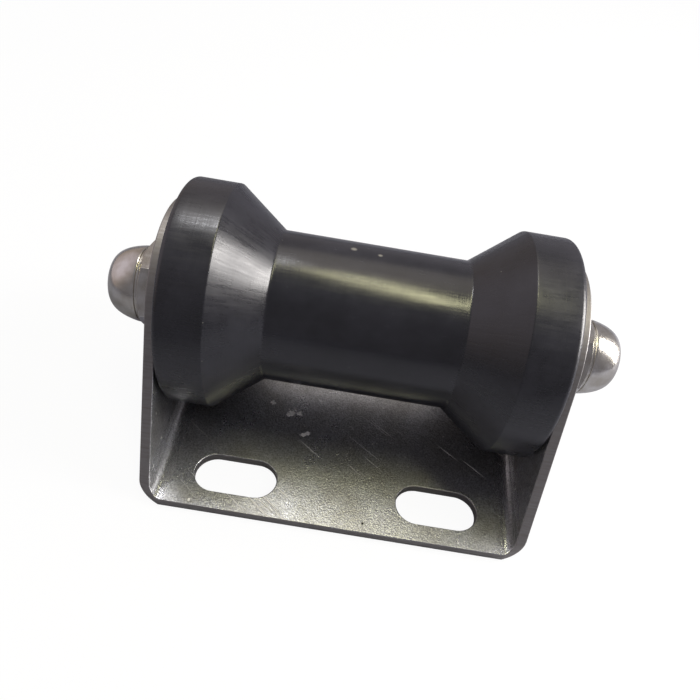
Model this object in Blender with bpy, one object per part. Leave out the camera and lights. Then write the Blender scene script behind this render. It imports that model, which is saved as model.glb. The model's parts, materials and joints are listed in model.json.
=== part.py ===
"""Bow roller: a waisted black roller that turns on a through stud in a bent steel cradle.

Metres, +Z up. The origin lies on the underside of the cradle's base, below the middle of
the axle. The axle runs along X and the front of the cradle faces -Y.
"""

import math

import bmesh
import bpy
from mathutils import Matrix, Vector

# Cradle, bent from one steel plate
CRADLE_WIDTH = 0.115
PLATE = 0.003
BASE_DEPTH = 0.102
BEND_INNER_RADIUS = 0.003
HEAD_RADIUS = 0.027

# Bolt slots in the base
SLOT_LENGTH = 0.025
SLOT_WIDTH = 0.013
SLOT_FROM_SIDE = 0.0265
SLOT_FROM_EDGE = 0.0123

# Roller
FLANGE_DIAMETER = 0.066
WAIST_DIAMETER = 0.0446
WAIST_LENGTH = 0.054
LAND_WIDTH = 0.0131
RIM_ROUND = 0.0016
SHOULDER_ROUND = 0.0008
WAIST_ROUND = 0.0012
FLOOR_CLEARANCE = 0.003
END_PLAY = 0.0005

# Stud, spacer tube and bushes
STUD_DIAMETER = 0.016
STUD_CHAMFER = 0.0012
TUBE_WALL = 0.0017
BUSH_WALL = 0.0027
BUSH_LENGTH = 0.026
BUSH_FLANGE = 0.0025
BUSH_COLLAR = 0.0045

# Low dome nuts
NUT_WALL = 0.004
NUT_HEX_HEIGHT = 0.0077
DOME_LENGTH = 0.0105
DOME_STEP = 0.0006
GROOVE_WIDTH = 0.0007
GROOVE_DEPTH = 0.0005
NUT_THREAD_DEPTH = 0.013
NUT_SEAT_CHAMFER = 0.0005
DOME_BLUNTNESS = 0.42
DOME_TAPER = 1.5
CHAMFER_ANGLE = math.radians(30)

# Clearances
FIT = 0.0003
BORE_FIT = 0.0003

# Facets
ROLLER_FACETS = 64
ROUND_FACETS = 48
SLOT_FACETS = 16
BEND_STEPS = 6
FILLET_STEPS = 4
DOME_STEPS = 9

# Derived sizes
AXLE_HEIGHT = PLATE + FLOOR_CLEARANCE + FLANGE_DIAMETER / 2
CHEEK_INNER = CRADLE_WIDTH / 2 - PLATE
CHEEK_OUTER = CRADLE_WIDTH / 2
BEND_OUTER_RADIUS = BEND_INNER_RADIUS + PLATE
ROLLER_HALF = CHEEK_INNER - END_PLAY
STUD_RADIUS = STUD_DIAMETER / 2
TUBE_INNER = STUD_RADIUS + FIT
TUBE_OUTER = TUBE_INNER + TUBE_WALL
BUSH_INNER = TUBE_OUTER + BORE_FIT
BUSH_OUTER = BUSH_INNER + BUSH_WALL
COLLAR_OUTER = BUSH_OUTER + BUSH_COLLAR
NUT_FLATS = STUD_DIAMETER + 2 * NUT_WALL
NUT_SEAT = CHEEK_OUTER + FIT
STUD_HALF = NUT_SEAT + NUT_THREAD_DEPTH - FIT


def clear_scene():
    """Empty the scene before modelling."""
    for old in list(bpy.data.objects):
        bpy.data.objects.remove(old, do_unlink=True)


def material(name, colour, roughness, metallic):
    """Principled material with a base colour, a roughness and a metallic value."""
    mat = bpy.data.materials.new(name)
    mat.use_nodes = True
    shader = mat.node_tree.nodes["Principled BSDF"]
    shader.inputs["Base Color"].default_value = (*colour, 1.0)
    shader.inputs["Roughness"].default_value = roughness
    shader.inputs["Metallic"].default_value = metallic
    return mat


def new_object(name, bm, mat=None):
    """Turn a bmesh into a named object in the scene."""
    bmesh.ops.recalc_face_normals(bm, faces=bm.faces)
    mesh = bpy.data.meshes.new(name)
    bm.to_mesh(mesh)
    bm.free()
    mesh.shade_smooth()
    mesh.set_sharp_from_angle(angle=math.radians(30))
    obj = bpy.data.objects.new(name, mesh)
    bpy.context.scene.collection.objects.link(obj)
    if mat:
        mesh.materials.append(mat)
    return obj


def fillet(corner, before, after, radius):
    """Points of the arc that rounds one corner of a profile."""
    corner = Vector(corner)
    to_before = (Vector(before) - corner).normalized()
    to_after = (Vector(after) - corner).normalized()
    half = to_before.angle(to_after) / 2
    reach = radius / math.tan(half)
    centre = corner + (to_before + to_after).normalized() * (radius / math.sin(half))
    start = corner + to_before * reach - centre
    end = corner + to_after * reach - centre
    turn = start.angle_signed(end)
    arc = []
    for step in range(FILLET_STEPS + 1):
        swing = Matrix.Rotation(-turn * step / FILLET_STEPS, 2)
        arc.append(centre + swing @ start)
    return arc


def rounded(corners):
    """Closed profile with each (point, radius) corner rounded where its radius is not 0."""
    points = []
    for i, (point, radius) in enumerate(corners):
        if radius:
            before = corners[i - 1][0]
            after = corners[(i + 1) % len(corners)][0]
            points.extend(fillet(point, before, after, radius))
        else:
            points.append(Vector(point))
    return points


def turned(name, profile, facets, mat=None):
    """Revolve a closed (axial, radius) profile about the X axis."""
    bm = bmesh.new()
    verts = [bm.verts.new((point[0], 0.0, point[1])) for point in profile]
    edges = []
    for i, vert in enumerate(verts):
        follower = verts[(i + 1) % len(verts)]
        if vert.co.z > 0 or follower.co.z > 0:
            edges.append(bm.edges.new((vert, follower)))
    bmesh.ops.spin(
        bm,
        geom=verts + edges,
        cent=(0, 0, 0),
        axis=(1, 0, 0),
        angle=2 * math.pi,
        steps=facets,
        use_merge=True,
    )
    bmesh.ops.remove_doubles(bm, verts=bm.verts, dist=1e-6)
    return new_object(name, bm, mat)


def prism(name, outline, lift):
    """Closed solid drawn out from a planar outline along one vector."""
    bm = bmesh.new()
    face = bm.faces.new([bm.verts.new(point) for point in outline])
    drawn = bmesh.ops.extrude_face_region(bm, geom=[face])
    moved = [item for item in drawn["geom"] if isinstance(item, bmesh.types.BMVert)]
    bmesh.ops.translate(bm, verts=moved, vec=lift)
    return new_object(name, bm)


def combine(obj, tool, operation):
    """Add an exact Boolean of obj with a hidden tool body."""
    tool.hide_render = True
    tool.display_type = "WIRE"
    cut = obj.modifiers.new(tool.name, "BOOLEAN")
    cut.operation = operation
    cut.solver = "EXACT"
    cut.object = tool


def tangent_lean(run, depth, radius):
    """Lean of the line from (0, -depth) that touches a circle of this radius at (run, 0)."""
    return math.atan2(depth, run) - math.asin(radius / math.hypot(run, depth))


def blank_outline():
    """Flat cradle plate: a base strip and two tapered cheeks with round heads."""
    flat_half = CRADLE_WIDTH / 2 - BEND_OUTER_RADIUS
    bend_run = math.pi / 2 * (BEND_INNER_RADIUS + PLATE / 2)
    axle_run = bend_run + AXLE_HEIGHT - BEND_OUTER_RADIUS
    lean = tangent_lean(axle_run, BASE_DEPTH / 2, HEAD_RADIUS)
    side = [Vector((flat_half, -BASE_DEPTH / 2))]
    head_steps = ROUND_FACETS // 2
    for step in range(head_steps + 1):
        swing = (math.pi / 2 - lean) * (2 * step / head_steps - 1)
        across = flat_half + axle_run + HEAD_RADIUS * math.cos(swing)
        side.append(Vector((across, HEAD_RADIUS * math.sin(swing))))
    side.append(Vector((flat_half, BASE_DEPTH / 2)))
    other = [Vector((-point.x, point.y)) for point in reversed(side)]
    return side + other


def fold(point):
    """Carry a point of the flat plate, measured from its mid plane, into the bent cradle."""
    flat_half = CRADLE_WIDTH / 2 - BEND_OUTER_RADIUS
    middle = BEND_INNER_RADIUS + PLATE / 2
    bend_run = math.pi / 2 * middle
    side = math.copysign(1, point.x)
    over = abs(point.x) - flat_half
    if over <= 0:
        return Vector((point.x, point.y, PLATE / 2 + point.z))
    turn = min(over, bend_run) / middle
    radius = middle - point.z
    across = flat_half + radius * math.sin(turn)
    height = BEND_OUTER_RADIUS - radius * math.cos(turn) + max(over - bend_run, 0)
    return Vector((side * across, point.y, height))


def make_cradle(mat):
    """Cradle: cut the blank, fold both cheeks up, then cut the slots and axle holes."""
    bm = bmesh.new()
    face = bm.faces.new([bm.verts.new((p.x, p.y, -PLATE / 2)) for p in blank_outline()])
    drawn = bmesh.ops.extrude_face_region(bm, geom=[face])
    moved = [item for item in drawn["geom"] if isinstance(item, bmesh.types.BMVert)]
    bmesh.ops.translate(bm, verts=moved, vec=(0, 0, PLATE))
    flat_half = CRADLE_WIDTH / 2 - BEND_OUTER_RADIUS
    bend_run = math.pi / 2 * (BEND_INNER_RADIUS + PLATE / 2)
    for step in range(BEND_STEPS + 1):
        line = flat_half + bend_run * step / BEND_STEPS
        for side in (-1, 1):
            bmesh.ops.bisect_plane(
                bm,
                geom=bm.verts[:] + bm.edges[:] + bm.faces[:],
                dist=1e-7,
                plane_co=(side * line, 0, 0),
                plane_no=(1, 0, 0),
            )
    for vert in bm.verts:
        vert.co = fold(vert.co)
    cradle = new_object("cradle", bm, mat)
    for row, depth in (("front", -1), ("rear", 1)):
        for hand, side in (("left", -1), ("right", 1)):
            centre = Vector((
                side * (CRADLE_WIDTH / 2 - SLOT_FROM_SIDE),
                depth * (BASE_DEPTH / 2 - SLOT_FROM_EDGE),
                -PLATE,
            ))
            combine(cradle, slot_cutter(f"slot_{row}_{hand}", centre), "DIFFERENCE")
    hole_radius = STUD_RADIUS + FIT
    hole = turned(
        "axle_hole",
        [(-CRADLE_WIDTH, 0), (-CRADLE_WIDTH, hole_radius), (CRADLE_WIDTH, hole_radius), (CRADLE_WIDTH, 0)],
        ROUND_FACETS,
    )
    hole.location.z = AXLE_HEIGHT
    combine(cradle, hole, "DIFFERENCE")
    return cradle


def slot_cutter(name, centre):
    """Round-ended slot, drawn up through the base."""
    outline = []
    end_radius = SLOT_WIDTH / 2
    straight = SLOT_LENGTH / 2 - end_radius
    for end in (1, -1):
        for step in range(SLOT_FACETS + 1):
            swing = math.pi * (step / SLOT_FACETS - 0.5)
            x = end * (straight + end_radius * math.cos(swing))
            y = end * end_radius * math.sin(swing)
            outline.append(centre + Vector((x, y, 0)))
    return prism(name, outline, Vector((0, 0, 3 * PLATE)))


def make_roller(mat):
    """Roller: two flat lands, two cones and a narrow waist, bored and recessed for the bushes."""
    flange = FLANGE_DIAMETER / 2
    waist = WAIST_DIAMETER / 2
    shoulder = ROLLER_HALF - LAND_WIDTH
    bore = BUSH_OUTER + FIT
    recess = COLLAR_OUTER + FIT
    recess_floor = ROLLER_HALF + END_PLAY - FIT - BUSH_FLANGE - FIT
    profile = rounded([
        ((-ROLLER_HALF, recess), 0),
        ((-ROLLER_HALF, flange), RIM_ROUND),
        ((-shoulder, flange), SHOULDER_ROUND),
        ((-WAIST_LENGTH / 2, waist), WAIST_ROUND),
        ((WAIST_LENGTH / 2, waist), WAIST_ROUND),
        ((shoulder, flange), SHOULDER_ROUND),
        ((ROLLER_HALF, flange), RIM_ROUND),
        ((ROLLER_HALF, recess), 0),
        ((recess_floor, recess), 0),
        ((recess_floor, bore), 0),
        ((-recess_floor, bore), 0),
        ((-recess_floor, recess), 0),
    ])
    return turned("roller", profile, ROLLER_FACETS, mat)


def make_bush(name, side, mat):
    """Flanged bush: its barrel fills one end of the bore and its flange meets the cheek."""
    face = CHEEK_INNER - FIT
    seat = face - BUSH_FLANGE
    tip = seat - BUSH_LENGTH
    profile = [
        (side * face, BUSH_INNER),
        (side * face, COLLAR_OUTER),
        (side * seat, COLLAR_OUTER),
        (side * seat, BUSH_OUTER),
        (side * tip, BUSH_OUTER),
        (side * tip, BUSH_INNER),
    ]
    return turned(name, profile, ROUND_FACETS, mat)


def make_tube(mat):
    """Spacer tube: holds the cheeks apart when the nuts are drawn up."""
    half = CHEEK_INNER - FIT
    profile = [(-half, TUBE_INNER), (-half, TUBE_OUTER), (half, TUBE_OUTER), (half, TUBE_INNER)]
    return turned("spacer_tube", profile, ROUND_FACETS, mat)


def make_stud(mat):
    """Through stud with chamfered ends that stop short of the blind nut bores."""
    end = STUD_RADIUS - STUD_CHAMFER
    body = STUD_HALF - STUD_CHAMFER
    profile = [
        (-STUD_HALF, 0),
        (-STUD_HALF, end),
        (-body, STUD_RADIUS),
        (body, STUD_RADIUS),
        (STUD_HALF, end),
        (STUD_HALF, 0),
    ]
    return turned("stud", profile, ROUND_FACETS, mat)


def make_nut(name, side, mat):
    """Low dome nut: a chamfered hexagon, a groove and a blunt dome over a blind bore."""
    shoulder = NUT_SEAT + NUT_HEX_HEIGHT
    corner = NUT_FLATS / math.sqrt(3)
    dome_radius = NUT_FLATS / 2 - DOME_STEP
    reach = corner + DOME_STEP
    outer_drop = (reach - dome_radius) * math.tan(CHAMFER_ANGLE)
    neck = dome_radius - GROOVE_DEPTH
    dome_start = shoulder + GROOVE_WIDTH
    profile = [
        (side * NUT_SEAT, 0),
        (side * NUT_SEAT, NUT_FLATS / 2 - NUT_SEAT_CHAMFER),
        (side * (NUT_SEAT + (reach - NUT_FLATS / 2) * math.tan(CHAMFER_ANGLE)), reach),
        (side * (shoulder - outer_drop), reach),
        (side * shoulder, dome_radius),
        (side * shoulder, neck),
        (side * dome_start, neck),
    ]
    for step in range(DOME_STEPS + 1):
        swing = math.pi / 2 * step / DOME_STEPS
        along = dome_start + (DOME_LENGTH - GROOVE_WIDTH) * math.sin(swing) ** DOME_TAPER
        around = dome_radius * max(math.cos(swing), 0) ** DOME_BLUNTNESS
        profile.append((side * along, around if step < DOME_STEPS else 0))
    nut = turned(name, profile, ROUND_FACETS, mat)
    outline = []
    for step in range(6):
        swing = math.radians(60 * step + 30)
        outline.append(Vector((side * CHEEK_OUTER, corner * math.sin(swing), corner * math.cos(swing))))
    length = NUT_HEX_HEIGHT + DOME_LENGTH + NUT_WALL
    combine(nut, prism(name + "_hexagon", outline, Vector((side * length, 0, 0))), "INTERSECT")
    bore = STUD_RADIUS + FIT
    depth = NUT_SEAT + NUT_THREAD_DEPTH
    drill = turned(
        name + "_bore",
        [(side * CHEEK_INNER, 0), (side * CHEEK_INNER, bore), (side * depth, bore), (side * depth, 0)],
        ROUND_FACETS,
    )
    combine(nut, drill, "DIFFERENCE")
    return nut


def main():
    """Model every piece and set it on the axle."""
    clear_scene()
    steel = material("bent steel plate", (0.42, 0.42, 0.39), 0.38, 1.0)
    black = material("turned black nylon", (0.020, 0.020, 0.023), 0.36, 0.0)
    bush_white = material("natural acetal", (0.75, 0.73, 0.68), 0.45, 0.0)
    tube_steel = material("drawn steel tube", (0.45, 0.45, 0.44), 0.40, 1.0)
    stud_steel = material("threaded steel bar", (0.48, 0.48, 0.47), 0.35, 1.0)
    nut_steel = material("polished nut steel", (0.58, 0.55, 0.49), 0.18, 1.0)

    make_cradle(steel)

    axle = bpy.data.objects.new("axle_line", None)
    bpy.context.scene.collection.objects.link(axle)
    axle.location.z = AXLE_HEIGHT
    on_axle = [
        make_roller(black),
        make_bush("bush_left", -1, bush_white),
        make_bush("bush_right", 1, bush_white),
        make_tube(tube_steel),
        make_stud(stud_steel),
        make_nut("dome_nut_left", -1, nut_steel),
        make_nut("dome_nut_right", 1, nut_steel),
    ]
    for piece in on_axle:
        piece.parent = axle
    for tool in bpy.data.objects:
        if tool.name.startswith("dome_nut") and tool.hide_render:
            tool.parent = axle


main()
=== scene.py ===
"""Bow roller in a plain studio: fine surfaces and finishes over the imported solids.

Laid out as a Blender add-on and run as a script. Metres, +Z up, axle along X, front at -Y.
"""

import json
import math

import bpy
import bmesh
import numpy as np
from bpy.props import FloatProperty, FloatVectorProperty, IntProperty, PointerProperty
from bpy.types import Operator, Panel, PropertyGroup
from mathutils import Matrix, Vector


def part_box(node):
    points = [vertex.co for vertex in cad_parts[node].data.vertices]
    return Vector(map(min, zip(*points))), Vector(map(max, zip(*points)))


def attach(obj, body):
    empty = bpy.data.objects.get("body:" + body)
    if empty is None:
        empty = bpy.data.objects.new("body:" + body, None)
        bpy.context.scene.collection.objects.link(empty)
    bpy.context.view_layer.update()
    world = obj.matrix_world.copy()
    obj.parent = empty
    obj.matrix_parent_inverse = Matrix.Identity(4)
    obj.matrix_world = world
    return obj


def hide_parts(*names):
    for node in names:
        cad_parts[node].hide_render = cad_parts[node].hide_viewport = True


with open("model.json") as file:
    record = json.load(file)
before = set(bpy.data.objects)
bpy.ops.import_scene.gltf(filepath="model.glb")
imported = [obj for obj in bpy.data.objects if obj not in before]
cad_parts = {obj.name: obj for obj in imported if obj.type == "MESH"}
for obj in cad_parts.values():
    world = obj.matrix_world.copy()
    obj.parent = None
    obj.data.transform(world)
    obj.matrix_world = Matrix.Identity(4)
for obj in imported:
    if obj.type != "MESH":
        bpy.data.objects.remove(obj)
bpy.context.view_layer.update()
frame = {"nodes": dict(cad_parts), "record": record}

bl_info = {
    "name": "Bow roller",
    "version": (1, 0, 0),
    "blender": (4, 5, 0),
    "location": "3D View > Sidebar > Bow roller",
    "description": "Builds a bow roller's bent cradle, turned roller and dome nuts, and their studio",
    "category": "Object",
}

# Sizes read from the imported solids
CRADLE_HIGH = np.array(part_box("cradle")[1])
ROLLER_HIGH = np.array(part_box("roller")[1])
NUT_LOW, NUT_HIGH = (np.array(corner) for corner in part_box("dome_nut_right"))
BUSH_HIGH = np.array(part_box("bush_right")[1])
STUD_HIGH = np.array(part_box("stud")[1])
AXLE_Z = float(frame["record"]["behaviour"]["joints"][0]["pos_m"][2])

# Running gap round the bushes and the stud
GAP = 0.0003
# The bush's flange: its thickness, and how far it stands out past the bush's barrel
BUSH_FLANGE = 0.0025
BUSH_FLANGE_REACH = 0.0045
# Rounding of the roller's recess, and the longest side in its section
RECESS_ROUND = 0.0003
LONGEST_SIDE = 0.002
# Nut: chamfers, width of the seat's step, lip under the dome, edge rounding
CHAMFER = math.radians(30)
SEAT_STEP = 0.0005
DOME_LIP = 0.0001
NUT_EDGE_ROUND = 0.00018
# First angle on the dome, past its closely spaced start, and rows up to the tip
DOME_START = 0.12
DOME_ROWS = 38
# Cradle mesh: points per side of a base quarter, rows of each patch, points on a head
PER_SIDE = 24
QUARTER_ROWS = 7
BEND_ROWS = 13
TAPER_ROWS = 13
CHEEK_ROWS = 6
HEAD_POINTS = 49
# Width of a press mark, as a share of the bend's run
MARK_WIDTH = 0.16
# Edges that turn more than this are shaded sharp, and on the nuts and the plate rounded
ROLLER_SHARP = math.radians(40)
NUT_SHARP = math.radians(24)
PLATE_SHARP = math.radians(50)
# The way along a turned profile is stored in units of 10 mm
WAY_SCALE = 100
# Height of the base plate's upper face, where its marks lie
BASE_TOP = 0.003

# Scuffs on the base plate: place across, place in depth, reach
SCUFFS = ((-0.0255, -0.0081, 0.0016), (-0.0184, -0.0114, 0.0026), (-0.0160, -0.0108, 0.0018),
          (-0.0134, -0.0196, 0.0016), (-0.0120, -0.0186, 0.0012), (-0.0425, -0.0492, 0.0010))
# A dark pit in the base plate: place across, place in depth
PIT = (0.0090, -0.0480)
# Chips on the roller's waist: place across, degrees from the top towards the back, reach
CHIPS = ((-0.0065, 10.5, 0.0011), (0.0010, 7.5, 0.0008))

# Floor: half its width, how far it lies under the part, and its share of glow to the eye
FLOOR_REACH = 4.0
FLOOR_DROP = 0.0002
FLOOR_GLOW = 0.94
# Lamps: name, place, direction of the first side, both sides, watts, colour
LAMPS = (
    ("window", (0.63, 0.07, 0.33), (-0.11, 0.99, 0), (0.30, 0.56), 7.0, "#fffbf8"),
    ("strip", (0.055, 0.042, 0.64), (0.59, -0.81, 0), (0.29, 0.08), 0.76, "#fffcca"),
    ("spot", (-0.165, 0.235, 0.64), (1, 0, 0), (0.05, 0.12), 0.45, "#fafaff"),
)
# The room: axis, where the colour starts and is full, colour
ROOM = (("Z", 0.4, 1.0, "#94949e"), ("Y", -0.1, -0.75, "#7a787e"))
# Pale patches of the room, high behind and on the left wall: direction, cosines of the patch's
# rim and of its full part, colour
PATCHES = (((0.0, 0.52, 0.854), 0.91, 0.98, "#fff6ee"), ((-0.87, 0.20, 0.45), 0.70, 1.0, "#d4cad2"))
# Camera: picture width in pixels, and its right and forward directions
PICTURE = 700
CAMERA_RIGHT = (0.98663, 0.11491, 0.11559)
CAMERA_AHEAD = (0.01402, 0.64672, -0.76259)


class BowCradleSizes(PropertyGroup):
    """Sizes and colours of the bent plate."""

    plate: FloatProperty(name="Plate", description="Thickness of the steel plate",
                         default=0.003, unit="LENGTH", precision=4)
    bend_radius: FloatProperty(name="Bend radius", description="Inner radius of both bends",
                               default=0.003, unit="LENGTH", precision=4)
    slot_length: FloatProperty(name="Slot length", description="Bolt slot, end to end",
                               default=0.025, unit="LENGTH", precision=4)
    slot_width: FloatProperty(name="Slot width", description="Bolt slot, side to side",
                              default=0.013, unit="LENGTH", precision=4)
    slot_from_side: FloatProperty(name="Slot from side",
                                  description="Slot centre to the outside of the cheek",
                                  default=0.0265, unit="LENGTH", precision=4)
    slot_from_edge: FloatProperty(name="Slot from edge", description="Slot centre to the base's edge",
                                  default=0.0123, unit="LENGTH", precision=4)
    edge_round: FloatProperty(name="Edge round", description="Rounding of the deburred edges",
                              default=0.00035, unit="LENGTH", precision=5)
    hole_clearance: FloatProperty(name="Hole clearance", description="Gap round the stud in each cheek",
                                  default=0.0003, unit="LENGTH", precision=5)
    steel: FloatVectorProperty(name="Steel", description="Colour of the plate's faces, sRGB",
                               default=(0.78, 0.785, 0.795), subtype="COLOR_GAMMA", min=0, max=1)
    cut_edge: FloatVectorProperty(name="Cut edge", description="Colour of the plate's cut edges, sRGB",
                                  default=(0.66, 0.65, 0.64), subtype="COLOR_GAMMA", min=0, max=1)


class BowRollerSizes(PropertyGroup):
    """Sizes and colours of the roller."""

    waist_diameter: FloatProperty(name="Waist diameter", description="Diameter of the narrow middle",
                                  default=0.0446, unit="LENGTH", precision=4)
    waist_length: FloatProperty(name="Waist length", description="Length of the narrow middle",
                                default=0.054, unit="LENGTH", precision=4)
    land_width: FloatProperty(name="Land width", description="Width of each flat end land",
                              default=0.0131, unit="LENGTH", precision=4)
    rim_round: FloatProperty(name="Rim round", description="Rounding of the outer rims",
                             default=0.0016, unit="LENGTH", precision=4)
    shoulder_round: FloatProperty(name="Shoulder round", description="Rounding between land and cone",
                                  default=0.0008, unit="LENGTH", precision=4)
    waist_round: FloatProperty(name="Waist round", description="Rounding between cone and waist",
                               default=0.0012, unit="LENGTH", precision=4)
    turns: IntProperty(name="Facets", description="Facets round the roller", default=256, min=32)
    black: FloatVectorProperty(name="Black", description="Colour of the roller, sRGB",
                               default=(0.086, 0.086, 0.106), subtype="COLOR_GAMMA", min=0, max=1)


class BowNutSizes(PropertyGroup):
    """Sizes and colours of the dome nuts."""

    flats: FloatProperty(name="Across flats", description="Width of the hexagon across its flats",
                         default=0.024, unit="LENGTH", precision=4)
    hex_height: FloatProperty(name="Hexagon height", description="Length of the hexagon along the stud",
                              default=0.0077, unit="LENGTH", precision=4)
    dome_step: FloatProperty(name="Dome step", description="How far the dome sits inside the flats",
                             default=0.0006, unit="LENGTH", precision=4)
    groove_width: FloatProperty(name="Groove width", description="Groove between hexagon and dome",
                                default=0.0007, unit="LENGTH", precision=4)
    groove_depth: FloatProperty(name="Groove depth", description="Depth of that groove",
                                default=0.0005, unit="LENGTH", precision=4)
    bluntness: FloatProperty(name="Bluntness", description="1 is a round dome, less is blunter",
                             default=0.42)
    taper: FloatProperty(name="Taper", description="1 is a round dome, more tapers its sides",
                         default=1.5)
    thread_depth: FloatProperty(name="Thread depth", description="Depth of the blind bore",
                                default=0.013, unit="LENGTH", precision=4)
    turns: IntProperty(name="Facets", description="Facets round the nut", default=192, min=48)
    steel: FloatVectorProperty(name="Steel", description="Colour of the polished steel, sRGB",
                               default=(0.86, 0.85, 0.825), subtype="COLOR_GAMMA", min=0, max=1)


class BowStageSizes(PropertyGroup):
    """Camera, lamps and floor."""

    focal: FloatProperty(name="Focal length", description="In pixels of a 700 pixel wide picture",
                         default=606.75)
    centre_x: FloatProperty(name="Centre X", description="Optical centre, pixels from the left",
                            default=344.22)
    centre_y: FloatProperty(name="Centre Y", description="Optical centre, pixels from the top",
                            default=395.43)
    eye: FloatVectorProperty(name="Eye", description="Camera position from the axle's middle", size=3,
                             default=(-0.004975, -0.136165, 0.124452), subtype="TRANSLATION")
    floor_white: FloatVectorProperty(name="Floor", description="Colour of the floor, sRGB",
                                     default=(1.0, 1.0, 1.0), subtype="COLOR_GAMMA", min=0, max=1)


def linear(colour):
    """sRGB, as a hex text or as three values from 0 to 1, turned to linear RGBA."""
    if isinstance(colour, str):
        colour = [int(colour[i:i + 2], 16) / 255 for i in (1, 3, 5)]
    srgb = np.array(colour[:3], float)
    value = np.where(srgb <= 0.04045, srgb / 12.92, ((srgb + 0.055) / 1.055) ** 2.4)
    return (*value.tolist(), 1.0)


def add(tree, kind, links=None, **settings):
    """Add a node, set its properties, and fill its inputs with values or sockets."""
    node = tree.nodes.new(kind)
    for name, value in settings.items():
        setattr(node, name, value)
    for name, value in (links or {}).items():
        socket = node.inputs[name]
        if isinstance(value, bpy.types.NodeSocket):
            tree.links.new(value, socket)
        else:
            socket.default_value = value
    return node


def new_material(name):
    """Empty node material with its output and Principled shader."""
    mat = bpy.data.materials.new(name)
    mat.use_nodes = True
    tree = mat.node_tree
    return mat, tree, tree.nodes["Principled BSDF"]


def grid_faces(rows, cols, wrap_rows, wrap_cols):
    """Quads of a rows by cols grid, closed on itself where asked."""
    r = np.arange(rows if wrap_rows else rows - 1)[:, None]
    c = np.arange(cols if wrap_cols else cols - 1)[None, :]
    r2 = (r + 1) % rows
    c2 = (c + 1) % cols
    quads = np.stack([r * cols + c, r * cols + c2, r2 * cols + c2, r2 * cols + c], -1)
    return quads.reshape(-1, 4)


def surface(name, points, faces, turn=None):
    """Mesh object from point and quad arrays, with doubles merged and faces turned outwards."""
    mesh = bpy.data.meshes.new(name)
    mesh.from_pydata(points.reshape(-1, 3), [], faces)
    if turn is not None:
        layer = mesh.attributes.new("turn", "FLOAT_VECTOR", "POINT")
        layer.data.foreach_set("vector", turn.reshape(-1, 3).astype(np.float32).ravel())
    bm = bmesh.new()
    bm.from_mesh(mesh)
    bmesh.ops.remove_doubles(bm, verts=bm.verts, dist=2e-6)
    bmesh.ops.dissolve_degenerate(bm, edges=bm.edges, dist=1e-7)
    bmesh.ops.recalc_face_normals(bm, faces=bm.faces)
    bm.to_mesh(mesh)
    bm.free()
    mesh.shade_smooth()
    obj = bpy.data.objects.new(name, mesh)
    bpy.context.scene.collection.objects.link(obj)
    return obj


def rounded_profile(corners, radii, steps):
    """Closed profile whose corners are arcs: each arc touches both sides at
    radius / tan(half angle)."""
    corners = np.asarray(corners, float)
    parts = []
    for i, radius in enumerate(radii):
        here = corners[i]
        back = corners[i - 1] - here
        ahead = corners[(i + 1) % len(corners)] - here
        back = back / np.linalg.norm(back)
        ahead = ahead / np.linalg.norm(ahead)
        if radius == 0:
            parts.append(here[None])
            continue
        half = math.acos(np.clip(back @ ahead, -1, 1)) / 2
        middle = (back + ahead) / np.linalg.norm(back + ahead)
        centre = here + middle * radius / math.sin(half)
        swing = np.linspace(-1, 1, steps + 1)[:, None] * (math.pi / 2 - half)
        across = (ahead - back) / np.linalg.norm(ahead - back)
        parts.append(centre + radius * (-middle * np.cos(swing) + across * np.sin(swing)))
    return np.concatenate(parts)


def refine(profile, longest):
    """The same closed profile with each long side cut into pieces no longer than this."""
    follower = np.roll(profile, -1, axis=0)
    counts = np.maximum(1, np.ceil(np.linalg.norm(follower - profile, axis=1) / longest)).astype(int)
    start = np.repeat(profile, counts, axis=0)
    step = np.repeat(follower - profile, counts, axis=0)
    index = np.concatenate([np.arange(count) / count for count in counts])[:, None]
    return start + step * index


def revolve(profile, turns):
    """Points (x, r sin a, r cos a) of a profile of (x, r) rows turned about the axle, and their
    turn values (sin a, cos a, way along the profile)."""
    angle = np.linspace(0, 2 * math.pi, turns, endpoint=False)[None, :]
    along = profile[:, 0][:, None]
    radius = profile[:, 1][:, None]
    x = np.broadcast_to(along, (len(profile), turns))
    points = np.stack([x, radius * np.sin(angle), AXLE_Z + radius * np.cos(angle)], -1)
    way = np.concatenate([[0], np.cumsum(np.linalg.norm(np.diff(profile, axis=0), axis=1))])
    way = np.broadcast_to(way[:, None], x.shape)
    sine = np.broadcast_to(np.sin(angle), x.shape)
    cosine = np.broadcast_to(np.cos(angle), x.shape)
    return points, np.stack([sine, cosine, way * WAY_SCALE], -1)


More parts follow.
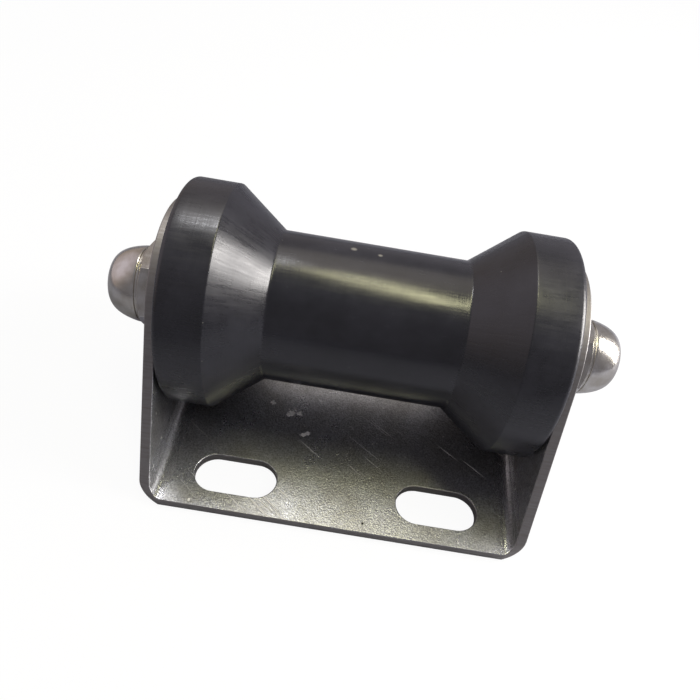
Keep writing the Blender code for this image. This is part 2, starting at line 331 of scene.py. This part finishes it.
def plate_steel(colour):
    """Hot-rolled stainless plate, pickled, then bent: a fine pebbled grain that scatters light,
    cloudy stains, a few long handling scratches, and pale polished lines where the press
    tool slid along both bends."""
    mat, tree, shader = new_material("pickled stainless plate")
    coords = add(tree, "ShaderNodeTexCoord").outputs["Object"]
    blank = add(tree, "ShaderNodeAttribute", attribute_name="turn").outputs["Vector"]
    # Pebbled pickled skin, about 0.5 mm from bump to bump
    grain = add(tree, "ShaderNodeTexNoise", {"Vector": coords, "Scale": 2100.0, "Detail": 2.0,
                                             "Roughness": 0.55})
    # Cloudy stains, about 12 mm wide
    cloud = add(tree, "ShaderNodeTexNoise", {"Vector": coords, "Scale": 85.0, "Detail": 4.0,
                                             "Roughness": 0.6})
    # Handling scratches: noise drawn out 40 to 1 at a slant, thick round one corner of the front edge
    slant = add(tree, "ShaderNodeMapping", {"Vector": coords, "Rotation": (0, 0, math.radians(-37)),
                                            "Scale": (0.030, 0.0008, 0.003)}, vector_type="TEXTURE")
    streak = add(tree, "ShaderNodeTexNoise", {"Vector": slant.outputs[0], "Scale": 1.0,
                                              "Detail": 1.0})
    away = add(tree, "ShaderNodeVectorMath", {0: coords, 1: (-0.022, -0.046, BASE_TOP)},
               operation="DISTANCE")
    level = add(tree, "ShaderNodeMapRange", {"Value": away.outputs["Value"], "From Min": 0.006,
                                             "From Max": 0.019,
                                             "To Min": 0.10, "To Max": 0.0})
    raised = add(tree, "ShaderNodeMath", {0: streak.outputs["Fac"], 1: level.outputs[0]},
                 operation="ADD")
    lines = add(tree, "ShaderNodeMapRange", {"Value": raised.outputs[0], "From Min": 0.71,
                                             "From Max": 0.80})
    # Scuffs on the base, each a broken patch a few millimetres wide
    broken = add(tree, "ShaderNodeTexNoise", {"Vector": coords, "Scale": 900.0, "Detail": 2.0})
    scratch = lines
    for x, y, size in SCUFFS:
        near = add(tree, "ShaderNodeVectorMath", {0: coords, 1: (x, y, BASE_TOP)},
                   operation="DISTANCE")
        patch = add(tree, "ShaderNodeMapRange", {"Value": near.outputs["Value"], "From Min": size,
                                                 "From Max": 0.0,
                                                 "To Min": 0.0, "To Max": 0.55})
        ragged = add(tree, "ShaderNodeMath", {0: broken.outputs["Fac"], 1: patch.outputs[0]},
                     operation="ADD")
        cut = add(tree, "ShaderNodeMapRange", {"Value": ragged.outputs[0], "From Min": 0.72,
                                               "From Max": 0.84})
        scratch = add(tree, "ShaderNodeMath", {0: scratch.outputs[0], 1: cut.outputs[0]},
                      operation="MAXIMUM")
    stain = add(tree, "ShaderNodeMapRange", {"Value": cloud.outputs["Fac"], "From Min": 0.38,
                                             "From Max": 0.66})
    tint = add(tree, "ShaderNodeMix", {0: stain.outputs[0], 6: linear(colour),
                                       7: linear("#adacaa")}, data_type="RGBA")
    fleck = add(tree, "ShaderNodeMapRange", {"Value": grain.outputs["Fac"], "From Min": 0.32,
                                             "From Max": 0.68,
                                             "To Min": 0.62, "To Max": 1.18})
    flecked = add(tree, "ShaderNodeMix", {0: 1.0, 6: tint.outputs[2], 7: fleck.outputs[0]},
                  data_type="RGBA", blend_type="MULTIPLY")
    bright = add(tree, "ShaderNodeMix", {0: scratch.outputs[0], 6: flecked.outputs[2],
                                         7: linear("#f6f4ec")},
                 data_type="RGBA")
    near = add(tree, "ShaderNodeVectorMath", {0: coords, 1: (*PIT, BASE_TOP)}, operation="DISTANCE")
    pit = add(tree, "ShaderNodeMapRange", {"Value": near.outputs["Value"], "From Min": 0.0006,
                                           "From Max": 0.0002})
    dark = add(tree, "ShaderNodeMix", {0: pit.outputs[0], 6: bright.outputs[2],
                                       7: linear("#0c0b0a")}, data_type="RGBA")
    tree.links.new(dark.outputs[2], shader.inputs["Base Color"])
    # Fresh scuffs are scraped open and scatter light
    solid = add(tree, "ShaderNodeMapRange", {"Value": scratch.outputs[0], "To Min": 0.80,
                                             "To Max": 0.0})
    tree.links.new(solid.outputs[0], shader.inputs["Metallic"])
    # The press tool's slide marks: rougher skin between them, smoother on the two bend lines
    across = add(tree, "ShaderNodeSeparateXYZ", {0: blank})
    bend = add(tree, "ShaderNodeMapRange", {"Value": across.outputs["Z"], "From Min": 0.0,
                                            "From Max": 1.0,
                                            "To Min": 0.0, "To Max": 0.10})
    rough = add(tree, "ShaderNodeMapRange", {"Value": cloud.outputs["Fac"], "From Min": 0.3,
                                             "From Max": 0.7,
                                             "To Min": 0.26, "To Max": 0.34})
    smooth = add(tree, "ShaderNodeMath", {0: rough.outputs[0], 1: bend.outputs[0]},
                 operation="SUBTRACT")
    tree.links.new(smooth.outputs[0], shader.inputs["Roughness"])
    height = add(tree, "ShaderNodeMath", {0: grain.outputs["Fac"], 1: scratch.outputs[0]},
                 operation="SUBTRACT")
    bump = add(tree, "ShaderNodeBump", {"Height": height.outputs[0], "Strength": 0.5,
                                        "Distance": 0.00018})
    tree.links.new(bump.outputs[0], shader.inputs["Normal"])
    return mat


def cut_edge_steel(colour):
    """Laser-cut edge of the plate: fine upright striations across the thickness, dull and a
    little browner than the rolled faces."""
    mat, tree, shader = new_material("laser-cut stainless edge")
    coords = add(tree, "ShaderNodeTexCoord").outputs["Object"]
    stria = add(tree, "ShaderNodeMapping", {"Vector": coords, "Scale": (120.0, 1500.0, 1500.0)})
    lines = add(tree, "ShaderNodeTexNoise", {"Vector": stria.outputs[0], "Scale": 1.0,
                                             "Detail": 2.0})
    shade = add(tree, "ShaderNodeMix", {0: lines.outputs["Fac"], 6: linear(colour),
                                        7: linear("#8a8480")},
                data_type="RGBA")
    tree.links.new(shade.outputs[2], shader.inputs["Base Color"])
    shader.inputs["Metallic"].default_value = 1.0
    rough = add(tree, "ShaderNodeMapRange", {"Value": lines.outputs["Fac"], "To Min": 0.36,
                                             "To Max": 0.58})
    tree.links.new(rough.outputs[0], shader.inputs["Roughness"])
    bump = add(tree, "ShaderNodeBump", {"Height": lines.outputs["Fac"], "Strength": 0.25,
                                        "Distance": 0.0001})
    tree.links.new(bump.outputs[0], shader.inputs["Normal"])
    return mat


def turned_nylon(colour, waist, half):
    """Black cast nylon, turned on a lathe: satin, with fine tool rings round the axle, rubbed
    streaks that run down the cones, and a little pale dust."""
    mat, tree, shader = new_material("turned black nylon")
    coords = add(tree, "ShaderNodeTexCoord").outputs["Object"]
    turn = add(tree, "ShaderNodeAttribute", attribute_name="turn").outputs["Vector"]
    # Tool rings, about 0.35 mm apart along the profile (the way is stored in units of 10 mm)
    feed = add(tree, "ShaderNodeMapping", {"Vector": turn, "Scale": (0.6, 0.6, 28.0)})
    rings = add(tree, "ShaderNodeTexNoise", {"Vector": feed.outputs[0], "Scale": 1.0,
                                             "Detail": 2.0, "Roughness": 0.6})
    # Rubbed streaks along the profile, about 0.8 mm wide round the rim
    rub = add(tree, "ShaderNodeMapping", {"Vector": turn, "Scale": (42.0, 42.0, 0.9)})
    streaks = add(tree, "ShaderNodeTexNoise", {"Vector": rub.outputs[0], "Scale": 1.0,
                                               "Detail": 3.0, "Roughness": 0.65})
    # Broad handling cloud, about 12 mm wide
    cloud = add(tree, "ShaderNodeTexNoise", {"Vector": coords, "Scale": 80.0, "Detail": 6.0,
                                             "Roughness": 0.68})
    # Dust specks, about 0.3 mm wide, in one of ten cells of 2.4 mm
    dust = add(tree, "ShaderNodeTexVoronoi", {"Vector": coords, "Scale": 420.0, "Randomness": 1.0})
    speck = add(tree, "ShaderNodeMapRange", {"Value": dust.outputs["Distance"], "From Min": 0.075,
                                             "From Max": 0.03})
    rare = add(tree, "ShaderNodeSeparateColor", {0: dust.outputs["Color"]})
    chosen = add(tree, "ShaderNodeMath", {0: rare.outputs[0], 1: 0.90}, operation="GREATER_THAN")
    dusty = add(tree, "ShaderNodeMath", {0: speck.outputs[0], 1: chosen.outputs[0]},
                operation="MULTIPLY")
    tone = add(tree, "ShaderNodeMapRange", {"Value": cloud.outputs["Fac"], "From Min": 0.35,
                                            "From Max": 0.65})
    body = add(tree, "ShaderNodeMix", {0: tone.outputs[0], 6: linear(colour),
                                       7: linear("#25252c")}, data_type="RGBA")
    for x, degrees, size in CHIPS:
        angle = math.radians(degrees)
        spot = (x, waist * math.sin(angle), AXLE_Z + waist * math.cos(angle))
        near = add(tree, "ShaderNodeVectorMath", {0: coords, 1: spot}, operation="DISTANCE")
        chip = add(tree, "ShaderNodeMapRange", {"Value": near.outputs["Value"], "From Min": size,
                                                "From Max": size / 3})
        dusty = add(tree, "ShaderNodeMath", {0: dusty.outputs[0], 1: chip.outputs[0]},
                    operation="MAXIMUM")
    look = add(tree, "ShaderNodeMix", {0: dusty.outputs[0], 6: body.outputs[2],
                                       7: linear("#8b8880")}, data_type="RGBA")
    tree.links.new(look.outputs[2], shader.inputs["Base Color"])
    wear = add(tree, "ShaderNodeMath", {0: streaks.outputs["Fac"], 1: cloud.outputs["Fac"]},
               operation="ADD")
    rough = add(tree, "ShaderNodeMapRange", {"Value": wear.outputs[0], "From Min": 0.7,
                                             "From Max": 1.3,
                                             "To Min": 0.22, "To Max": 0.40})
    # The rope has rubbed the waist smoother than the cones
    across = add(tree, "ShaderNodeSeparateXYZ", {0: coords})
    off = add(tree, "ShaderNodeMath", {0: across.outputs["X"]}, operation="ABSOLUTE")
    rubbed = add(tree, "ShaderNodeMapRange", {"Value": off.outputs[0], "From Min": half - 0.001,
                                              "From Max": half + 0.001,
                                              "To Min": 0.72, "To Max": 1.0})
    worn = add(tree, "ShaderNodeMath", {0: rough.outputs[0], 1: rubbed.outputs[0]},
               operation="MULTIPLY")
    tree.links.new(worn.outputs[0], shader.inputs["Roughness"])
    shader.inputs["IOR"].default_value = 1.68
    mixed = add(tree, "ShaderNodeMath", {0: rings.outputs["Fac"], 1: streaks.outputs["Fac"]},
                operation="ADD")
    bump = add(tree, "ShaderNodeBump", {"Height": mixed.outputs[0], "Strength": 0.18,
                                        "Distance": 0.0001})
    tree.links.new(bump.outputs[0], shader.inputs["Normal"])
    return mat


def polished_nut_steel(colour):
    """Cold-formed stainless, barrel-polished: bright, with a slight hammered waviness and fine
    rings where the dome was turned."""
    mat, tree, shader = new_material("polished stainless nut")
    coords = add(tree, "ShaderNodeTexCoord").outputs["Object"]
    turn = add(tree, "ShaderNodeAttribute", attribute_name="turn").outputs["Vector"]
    # Waviness about 4 mm across, grain about 0.4 mm
    wave = add(tree, "ShaderNodeTexNoise", {"Vector": coords, "Scale": 250.0, "Detail": 2.0})
    grain = add(tree, "ShaderNodeTexNoise", {"Vector": coords, "Scale": 2400.0, "Detail": 2.0})
    # Tool rings about 0.3 mm apart
    feed = add(tree, "ShaderNodeMapping", {"Vector": turn, "Scale": (0.7, 0.7, 33.0)})
    rings = add(tree, "ShaderNodeTexNoise", {"Vector": feed.outputs[0], "Scale": 1.0,
                                             "Detail": 1.0})
    tone = add(tree, "ShaderNodeMapRange", {"Value": wave.outputs["Fac"], "From Min": 0.35,
                                            "From Max": 0.65})
    look = add(tree, "ShaderNodeMix", {0: tone.outputs[0], 6: linear(colour),
                                       7: linear("#c2bdb2")}, data_type="RGBA")
    tree.links.new(look.outputs[2], shader.inputs["Base Color"])
    shader.inputs["Metallic"].default_value = 1.0
    rough = add(tree, "ShaderNodeMapRange", {"Value": grain.outputs["Fac"], "From Min": 0.3,
                                             "From Max": 0.7,
                                             "To Min": 0.15, "To Max": 0.27})
    tree.links.new(rough.outputs[0], shader.inputs["Roughness"])
    height = add(tree, "ShaderNodeMath", {0: rings.outputs["Fac"], 1: grain.outputs["Fac"]},
                 operation="ADD")
    bump = add(tree, "ShaderNodeBump", {"Height": height.outputs[0], "Strength": 0.10,
                                        "Distance": 0.0001})
    tree.links.new(bump.outputs[0], shader.inputs["Normal"])
    return mat


def hidden_finish(name, dark, pale, metallic, low, high, size):
    """Finish of an inner piece: two close tones and a roughness that follow one grain size."""
    mat, tree, shader = new_material(name)
    coords = add(tree, "ShaderNodeTexCoord").outputs["Object"]
    grain = add(tree, "ShaderNodeTexNoise", {"Vector": coords, "Scale": 1 / size, "Detail": 3.0})
    look = add(tree, "ShaderNodeMix", {0: grain.outputs["Fac"], 6: linear(dark), 7: linear(pale)},
               data_type="RGBA")
    tree.links.new(look.outputs[2], shader.inputs["Base Color"])
    shader.inputs["Metallic"].default_value = metallic
    rough = add(tree, "ShaderNodeMapRange", {"Value": grain.outputs["Fac"], "To Min": low,
                                             "To Max": high})
    tree.links.new(rough.outputs[0], shader.inputs["Roughness"])
    bump = add(tree, "ShaderNodeBump", {"Height": grain.outputs["Fac"], "Strength": 0.1,
                                        "Distance": 0.0001})
    tree.links.new(bump.outputs[0], shader.inputs["Normal"])
    return mat


def slot_reach(direction, straight, radius):
    """Distance from a slot's centre to its edge along unit directions: the flat side at radius / |y|,
    or the round end at straight |x| + sqrt(radius^2 - straight^2 y^2)."""
    x = np.abs(direction[:, 0])
    y = np.abs(direction[:, 1])
    flat = radius / np.maximum(y, 1e-9)
    end = straight * x + np.sqrt(np.maximum(radius ** 2 - (straight * y) ** 2, 0))
    return np.where(flat * x <= straight, flat, end)


def ring_patch(inner, outer, rows):
    """Points between two matching closed loops, spaced evenly from the inner to the outer one."""
    t = np.linspace(0, 1, rows)[:, None, None]
    return inner[None] * (1 - t) + outer[None] * t


def fold(flat, half, middle, plate):
    """Carry the flat plate's middle surface (across, depth) round both bends: the part past half
    turns through (across - half) / middle radians, up to a right angle, and then runs straight up."""
    over = np.abs(flat[..., 0]) - half
    run = math.pi / 2 * middle
    turn = np.clip(over, 0, run) / middle
    side = np.sign(flat[..., 0])
    x = side * (np.minimum(np.abs(flat[..., 0]), half) + middle * np.sin(turn))
    z = plate / 2 + middle * (1 - np.cos(turn)) + np.maximum(over - run, 0)
    return np.stack([x, flat[..., 1], z], -1)


class BOW_OT_cradle(Operator):
    """Build the bent, slotted cradle plate"""

    bl_idname = "bow.cradle"
    bl_label = "Cradle"

    def execute(self, context):
        """Lay out a quarter of the base and one cheek on the flat blank, then mirror, fold and
        thicken them."""
        s = context.scene.bow_cradle
        half_width = CRADLE_HIGH[0]
        depth = CRADLE_HIGH[1]
        head = CRADLE_HIGH[2] - AXLE_Z
        middle = s.bend_radius + s.plate / 2
        half = half_width - s.bend_radius - s.plate
        run = math.pi / 2 * middle
        axle_run = run + AXLE_Z - s.bend_radius - s.plate
        lean = math.atan2(depth, axle_run) - math.asin(head / math.hypot(depth, axle_run))
        side = np.linspace(0, 1, PER_SIDE, endpoint=False)
        low = np.zeros(PER_SIDE)
        up = np.ones(PER_SIDE)
        # Quarter of the base: a ring of quads from the slot out to the quarter's edges
        rectangle = np.concatenate([
            np.stack([half * side, low], 1),
            np.stack([half * up, depth * side], 1),
            np.stack([half * (1 - side), depth * up], 1),
            np.stack([low, depth * (1 - side)], 1),
        ])
        centre = np.array([half_width - s.slot_from_side, depth - s.slot_from_edge])
        away = rectangle - centre
        away = away / np.linalg.norm(away, axis=1)[:, None]
        reach = slot_reach(away, (s.slot_length - s.slot_width) / 2, s.slot_width / 2)
        quarter = ring_patch(centre + away * reach[:, None], rectangle, QUARTER_ROWS)
        # Bend: straight lines across the plate, which narrows along the tapered edge
        lines = np.linspace(0, run, BEND_ROWS)
        spread = np.concatenate([-side[::-1] - 1 / PER_SIDE, side, [1.0]])
        narrow = (depth - lines * math.tan(lean))[:, None]
        past = np.broadcast_to(half + lines[:, None], (BEND_ROWS, len(spread)))
        bend = np.stack([past, narrow * spread[None]], -1)
        # Cheek: a ring of quads from the axle hole out to the tapered outline
        axle = np.array([half + axle_run, 0.0])
        swing = np.linspace(-(math.pi / 2 - lean), math.pi / 2 - lean, HEAD_POINTS)
        arc = axle + head * np.stack([np.cos(swing), np.sin(swing)], 1)
        foot = bend[-1]
        steps = np.linspace(0, 1, TAPER_ROWS)[1:-1, None]
        outline = np.concatenate([
            foot[::-1], foot[0] + (arc[0] - foot[0]) * steps,
            arc, arc[-1] + (foot[-1] - arc[-1]) * steps,
        ])
        ray = outline - axle
        ray = ray / np.linalg.norm(ray, axis=1)[:, None]
        hole = STUD_HIGH[2] - AXLE_Z + s.hole_clearance
        cheek = ring_patch(axle + ray * hole, outline, CHEEK_ROWS)
        patches = []
        for sx in (1, -1):
            for sy in (1, -1):
                patches.append((quarter * (sx, sy), True))
            patches.append((bend * (sx, 1), False))
            patches.append((cheek * (sx, 1), True))
        points = []
        marks = []
        faces = []
        count = 0
        for patch, closed in patches:
            rows, cols = patch.shape[:2]
            folded = fold(patch, half, middle, s.plate)
            faces.append(grid_faces(rows, cols, False, closed) + count)
            count += rows * cols
            points.append(folded.reshape(-1, 3))
            over = (np.abs(patch[..., 0]) - half) / run
            # 1 on the two bend lines, fading to 0 over about 2 mm on each side
            mark = np.exp(-(over / MARK_WIDTH) ** 2) + np.exp(-((over - 1) / MARK_WIDTH) ** 2)
            marks.append(np.stack([patch[..., 0], patch[..., 1], mark], -1).reshape(-1, 3))
        plate = surface("cradle_plate", np.concatenate(points), np.concatenate(faces),
                        np.concatenate(marks))
        plate.data.materials.append(plate_steel(s.steel))
        plate.data.materials.append(cut_edge_steel(s.cut_edge))
        wall = plate.modifiers.new("plate", "SOLIDIFY")
        wall.thickness = s.plate
        wall.offset = 0.0
        wall.use_even_offset = True
        wall.material_offset_rim = 1
        edge = plate.modifiers.new("deburred edges", "BEVEL")
        edge.width = s.edge_round
        edge.segments = 3
        edge.limit_method = "ANGLE"
        edge.angle_limit = PLATE_SHARP
        edge.harden_normals = True
        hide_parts("cradle")
        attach(plate, "cradle")
        return {"FINISHED"}


class BOW_OT_roller(Operator):
    """Build the turned roller"""

    bl_idname = "bow.roller"
    bl_label = "Roller"

    def execute(self, context):
        """Round the corners of the roller's section and turn it about the axle."""
        s = context.scene.bow_roller
        end = ROLLER_HIGH[0]
        flange = ROLLER_HIGH[2] - AXLE_Z
        waist = s.waist_diameter / 2
        shoulder = end - s.land_width
        recess = BUSH_HIGH[2] - AXLE_Z + GAP
        floor = BUSH_HIGH[0] - BUSH_FLANGE - GAP
        bore = recess - BUSH_FLANGE_REACH
        half = s.waist_length / 2
        corners = [
            (-end, recess), (-end, flange), (-shoulder, flange), (-half, waist), (half, waist),
            (shoulder, flange), (end, flange), (end, recess), (floor, recess), (floor, bore),
            (-floor, bore), (-floor, recess),
        ]
        radii = [RECESS_ROUND, s.rim_round, s.shoulder_round, s.waist_round,
                 s.waist_round, s.shoulder_round, s.rim_round, RECESS_ROUND, 0, 0, 0, 0]
        profile = refine(rounded_profile(corners, radii, 8), LONGEST_SIDE)
        points, turn = revolve(profile, s.turns)
        roller = surface("roller_body", points, grid_faces(len(profile), s.turns, True, True), turn)
        roller.data.set_sharp_from_angle(angle=ROLLER_SHARP)
        roller.data.materials.append(turned_nylon(s.black, waist, half))
        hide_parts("roller")
        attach(roller, "roller")
        return {"FINISHED"}


class BOW_OT_nuts(Operator):
    """Build both dome nuts"""

    bl_idname = "bow.nuts"
    bl_label = "Dome nuts"

    def execute(self, context):
        """Carry the nut's section round the stud: on the hexagon the radius is flats / (2 cos a), with a
        measured from the nearest flat, and the 30 degree chamfers end where their cone meets it."""
        s = context.scene.bow_nuts
        finish = polished_nut_steel(s.steel)
        angle = np.linspace(0, 2 * math.pi, s.turns, endpoint=False)
        near = (angle + math.pi / 6) % (math.pi / 3) - math.pi / 6
        hexagon = s.flats / 2 / np.cos(near)
        one = np.ones_like(angle)
        slope = math.tan(CHAMFER)
        seat = NUT_LOW[0]
        tip = NUT_HIGH[0]
        shoulder = seat + s.hex_height
        dome = s.flats / 2 - s.dome_step
        neck = dome - s.groove_depth
        start = shoulder + s.groove_width
        bore = STUD_HIGH[2] - AXLE_Z + GAP
        floor = seat + s.thread_depth
        low = s.flats / 2 - SEAT_STEP
        swing = np.linspace(DOME_START, math.pi / 2, DOME_ROWS)
        rows = [
            (floor * one, 0 * one), (floor * one, bore * one),
            (seat * one, bore * one), (seat * one, low * one),
            (seat + (hexagon - low) * slope, hexagon),
            (shoulder - (hexagon - dome) * slope, hexagon),
            (shoulder * one, dome * one), (shoulder * one, neck * one), (start * one, neck * one),
            (start * one, (dome - DOME_LIP) * one),
        ]
        rows += [(start + (tip - start) * math.sin(a) ** s.taper * one,
                  dome * max(math.cos(a), 0) ** s.bluntness * one) for a in swing]
        along = np.array([x for x, r in rows])
        radius = np.array([r for x, r in rows])
        radius[-1] = 0
        way = np.cumsum(np.concatenate([[0], np.hypot(np.diff(along[:, 0]), np.diff(radius[:, 0]))]))
        turn = np.stack([np.broadcast_to(np.sin(angle), along.shape),
                         np.broadcast_to(np.cos(angle), along.shape),
                         np.broadcast_to(way[:, None] * WAY_SCALE, along.shape)], -1)
        for name, node, side in (("dome_nut_left_body", "dome_nut_left", -1),
                                 ("dome_nut_right_body", "dome_nut_right", 1)):
            points = np.stack([side * along, radius * np.sin(angle),
                               AXLE_Z + radius * np.cos(angle)], -1)
            nut = surface(name, points, grid_faces(len(along), s.turns, False, True), turn)
            nut.data.set_sharp_from_angle(angle=NUT_SHARP)
            nut.data.materials.append(finish)
            edge = nut.modifiers.new("rolled edges", "BEVEL")
            edge.width = NUT_EDGE_ROUND
            edge.segments = 2
            edge.limit_method = "ANGLE"
            edge.angle_limit = NUT_SHARP
            edge.harden_normals = True
            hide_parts(node)
            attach(nut, "cradle")
        return {"FINISHED"}


class BOW_OT_inner(Operator):
    """Finish the bushes, the spacer tube and the stud"""

    bl_idname = "bow.inner"
    bl_label = "Inner pieces"

    def execute(self, context):
        """Give each inner piece the finish of its own material."""
        acetal = hidden_finish("machined natural acetal",
                               "#d8d4c8", "#ebe8df", 0.0, 0.35, 0.5, 0.0008)
        drawn = hidden_finish("drawn stainless tube",
                              "#a8a7a2", "#c6c5bf", 1.0, 0.28, 0.42, 0.0006)
        rolled = hidden_finish("rolled stainless thread bar",
                               "#aeaca6", "#cfcdc6", 1.0, 0.25, 0.38, 0.0006)
        for node, finish in (("bush_left", acetal), ("bush_right", acetal),
                             ("spacer_tube", drawn), ("stud", rolled)):
            mesh = frame["nodes"][node].data
            mesh.materials.clear()
            mesh.materials.append(finish)
        return {"FINISHED"}


class BOW_OT_stage(Operator):
    """Set the floor, the lamps, the world and the camera"""

    bl_idname = "bow.stage"
    bl_label = "Stage"

    def execute(self, context):
        """White floor, a window on the right, a strip overhead, a spot high behind on the left,
        the room and the camera."""
        s = context.scene.bow_stage
        scene = context.scene
        scene.view_settings.view_transform = "Standard"
        corners = FLOOR_REACH * np.array([(-1, -1, 0), (1, -1, 0), (1, 1, 0), (-1, 1, 0)], float)
        mesh = bpy.data.meshes.new("floor")
        mesh.from_pydata(corners - (0, 0, FLOOR_DROP), [], [(0, 1, 2, 3)])
        floor = bpy.data.objects.new("floor", mesh)
        scene.collection.objects.link(floor)
        mesh.materials.append(self.floor_paper(s.floor_white))
        for lamp in LAMPS:
            self.lamp(*lamp)
        self.world(scene)
        camera = bpy.data.objects.new("camera", bpy.data.cameras.new("camera"))
        scene.collection.objects.link(camera)
        data = camera.data
        data.sensor_width = 36.0
        data.lens = s.focal / PICTURE * data.sensor_width
        data.shift_x = (PICTURE / 2 - s.centre_x) / PICTURE
        data.shift_y = (s.centre_y - PICTURE / 2) / PICTURE
        data.clip_start = 0.01
        data.clip_end = 20.0
        right = Vector(CAMERA_RIGHT).normalized()
        ahead = Vector(CAMERA_AHEAD).normalized()
        up = right.cross(ahead)
        turn = Matrix((right, up, -ahead)).transposed()
        place = Vector(s.eye) + Vector((0, 0, AXLE_Z))
        camera.matrix_world = Matrix.Translation(place) @ turn.to_4x4()
        scene.camera = camera
        return {"FINISHED"}

    def lamp(self, name, place, along, size, power, colour):
        """Rectangular soft lamp aimed at the axle, with its first side along a given direction."""
        data = bpy.data.lights.new(name, "AREA")
        data.shape = "RECTANGLE"
        data.size, data.size_y = size
        data.energy = power
        data.color = linear(colour)[:3]
        lamp = bpy.data.objects.new(name, data)
        back = (Vector(place) - Vector((0, 0, AXLE_Z))).normalized()
        side = Vector(along)
        side = (side - side.dot(back) * back).normalized()
        turn = Matrix((side, back.cross(side), back)).transposed()
        lamp.matrix_world = Matrix.Translation(place) @ turn.to_4x4()
        bpy.context.scene.collection.objects.link(lamp)

    def floor_paper(self, colour):
        """White paper sweep: seen as white, with a faint shadow."""
        mat = bpy.data.materials.new("white paper sweep")
        mat.use_nodes = True
        tree = mat.node_tree
        tree.nodes.clear()
        path = add(tree, "ShaderNodeLightPath")
        seen = path.outputs["Is Camera Ray"]
        shade = add(tree, "ShaderNodeMix", {0: seen, 6: linear("#9a9ca6"), 7: linear(colour)},
                    data_type="RGBA")
        paper = add(tree, "ShaderNodeBsdfDiffuse", {"Color": shade.outputs[2]})
        glow = add(tree, "ShaderNodeEmission", {"Color": linear(colour), "Strength": 1.0})
        part = add(tree, "ShaderNodeMath", {0: seen, 1: FLOOR_GLOW}, operation="MULTIPLY")
        mix = add(tree, "ShaderNodeMixShader", {0: part.outputs[0], 1: paper.outputs[0],
                                                2: glow.outputs[0]})
        add(tree, "ShaderNodeOutputMaterial", {"Surface": mix.outputs[0]})
        return mat

    def world(self, scene):
        """Dim room: warm to the left and grey to the right, cool overhead, dark in front, with pale
        patches high behind and on the left wall, and white to the eye."""
        world = bpy.data.worlds.new("room")
        scene.world = world
        world.use_nodes = True
        tree = world.node_tree
        tree.nodes.clear()
        view = add(tree, "ShaderNodeTexCoord").outputs["Generated"]
        way = add(tree, "ShaderNodeSeparateXYZ", {0: view})
        right = add(tree, "ShaderNodeMapRange",
                    {"Value": way.outputs["X"], "From Min": -0.9, "From Max": 0.1},
                    interpolation_type="SMOOTHSTEP")
        room = add(tree, "ShaderNodeMix",
                   {0: right.outputs[0], 6: linear("#aa9a8e"), 7: linear("#9c989e")},
                   data_type="RGBA")
        values = [(way.outputs[axis], low, high, colour) for axis, low, high, colour in ROOM]
        for direction, low, high, colour in PATCHES:
            near = add(tree, "ShaderNodeVectorMath", {0: view, 1: direction},
                       operation="DOT_PRODUCT")
            values.append((near.outputs["Value"], low, high, colour))
        for value, low, high, colour in values:
            share = add(tree, "ShaderNodeMapRange", {"Value": value, "From Min": low,
                                                     "From Max": high},
                        interpolation_type="SMOOTHSTEP")
            room = add(tree, "ShaderNodeMix",
                       {0: share.outputs[0], 6: room.outputs[2], 7: linear(colour)},
                       data_type="RGBA")
        path = add(tree, "ShaderNodeLightPath")
        seen = add(tree, "ShaderNodeMix", {0: path.outputs["Is Camera Ray"], 6: room.outputs[2],
                                           7: linear("#ffffff")}, data_type="RGBA")
        glow = add(tree, "ShaderNodeBackground", {"Color": seen.outputs[2], "Strength": 1.0})
        add(tree, "ShaderNodeOutputWorld", {"Surface": glow.outputs[0]})


class BOW_PT_panel(Panel):
    """Bow roller's pieces"""

    bl_label = "Bow roller"
    bl_idname = "BOW_PT_panel"
    bl_space_type = "VIEW_3D"
    bl_region_type = "UI"
    bl_category = "Bow roller"

    def draw(self, context):
        """List the operators and the sizes they read."""
        for group, operator in (("bow_cradle", "bow.cradle"), ("bow_roller", "bow.roller"),
                                ("bow_nuts", "bow.nuts"), (None, "bow.inner"),
                                ("bow_stage", "bow.stage")):
            box = self.layout.box()
            box.operator(operator)
            if group:
                sizes = getattr(context.scene, group)
                for name in sizes.__annotations__:
                    box.prop(sizes, name)


CLASSES = (BowCradleSizes, BowRollerSizes, BowNutSizes, BowStageSizes,
           BOW_OT_cradle, BOW_OT_roller, BOW_OT_nuts, BOW_OT_inner, BOW_OT_stage, BOW_PT_panel)
GROUPS = {"bow_cradle": BowCradleSizes, "bow_roller": BowRollerSizes, "bow_nuts": BowNutSizes,
          "bow_stage": BowStageSizes}


def register():
    """Register the classes and hang the size groups on the scene."""
    for cls in CLASSES:
        bpy.utils.register_class(cls)
    for name, group in GROUPS.items():
        setattr(bpy.types.Scene, name, PointerProperty(type=group))


def unregister():
    """Take the size groups and the classes away again."""
    for name in GROUPS:
        delattr(bpy.types.Scene, name)
    for cls in reversed(CLASSES):
        bpy.utils.unregister_class(cls)


def main():
    """Build every piece in order."""
    register()
    bpy.ops.bow.cradle()
    bpy.ops.bow.roller()
    bpy.ops.bow.nuts()
    bpy.ops.bow.inner()
    bpy.ops.bow.stage()


if __name__ == "__main__":
    main()
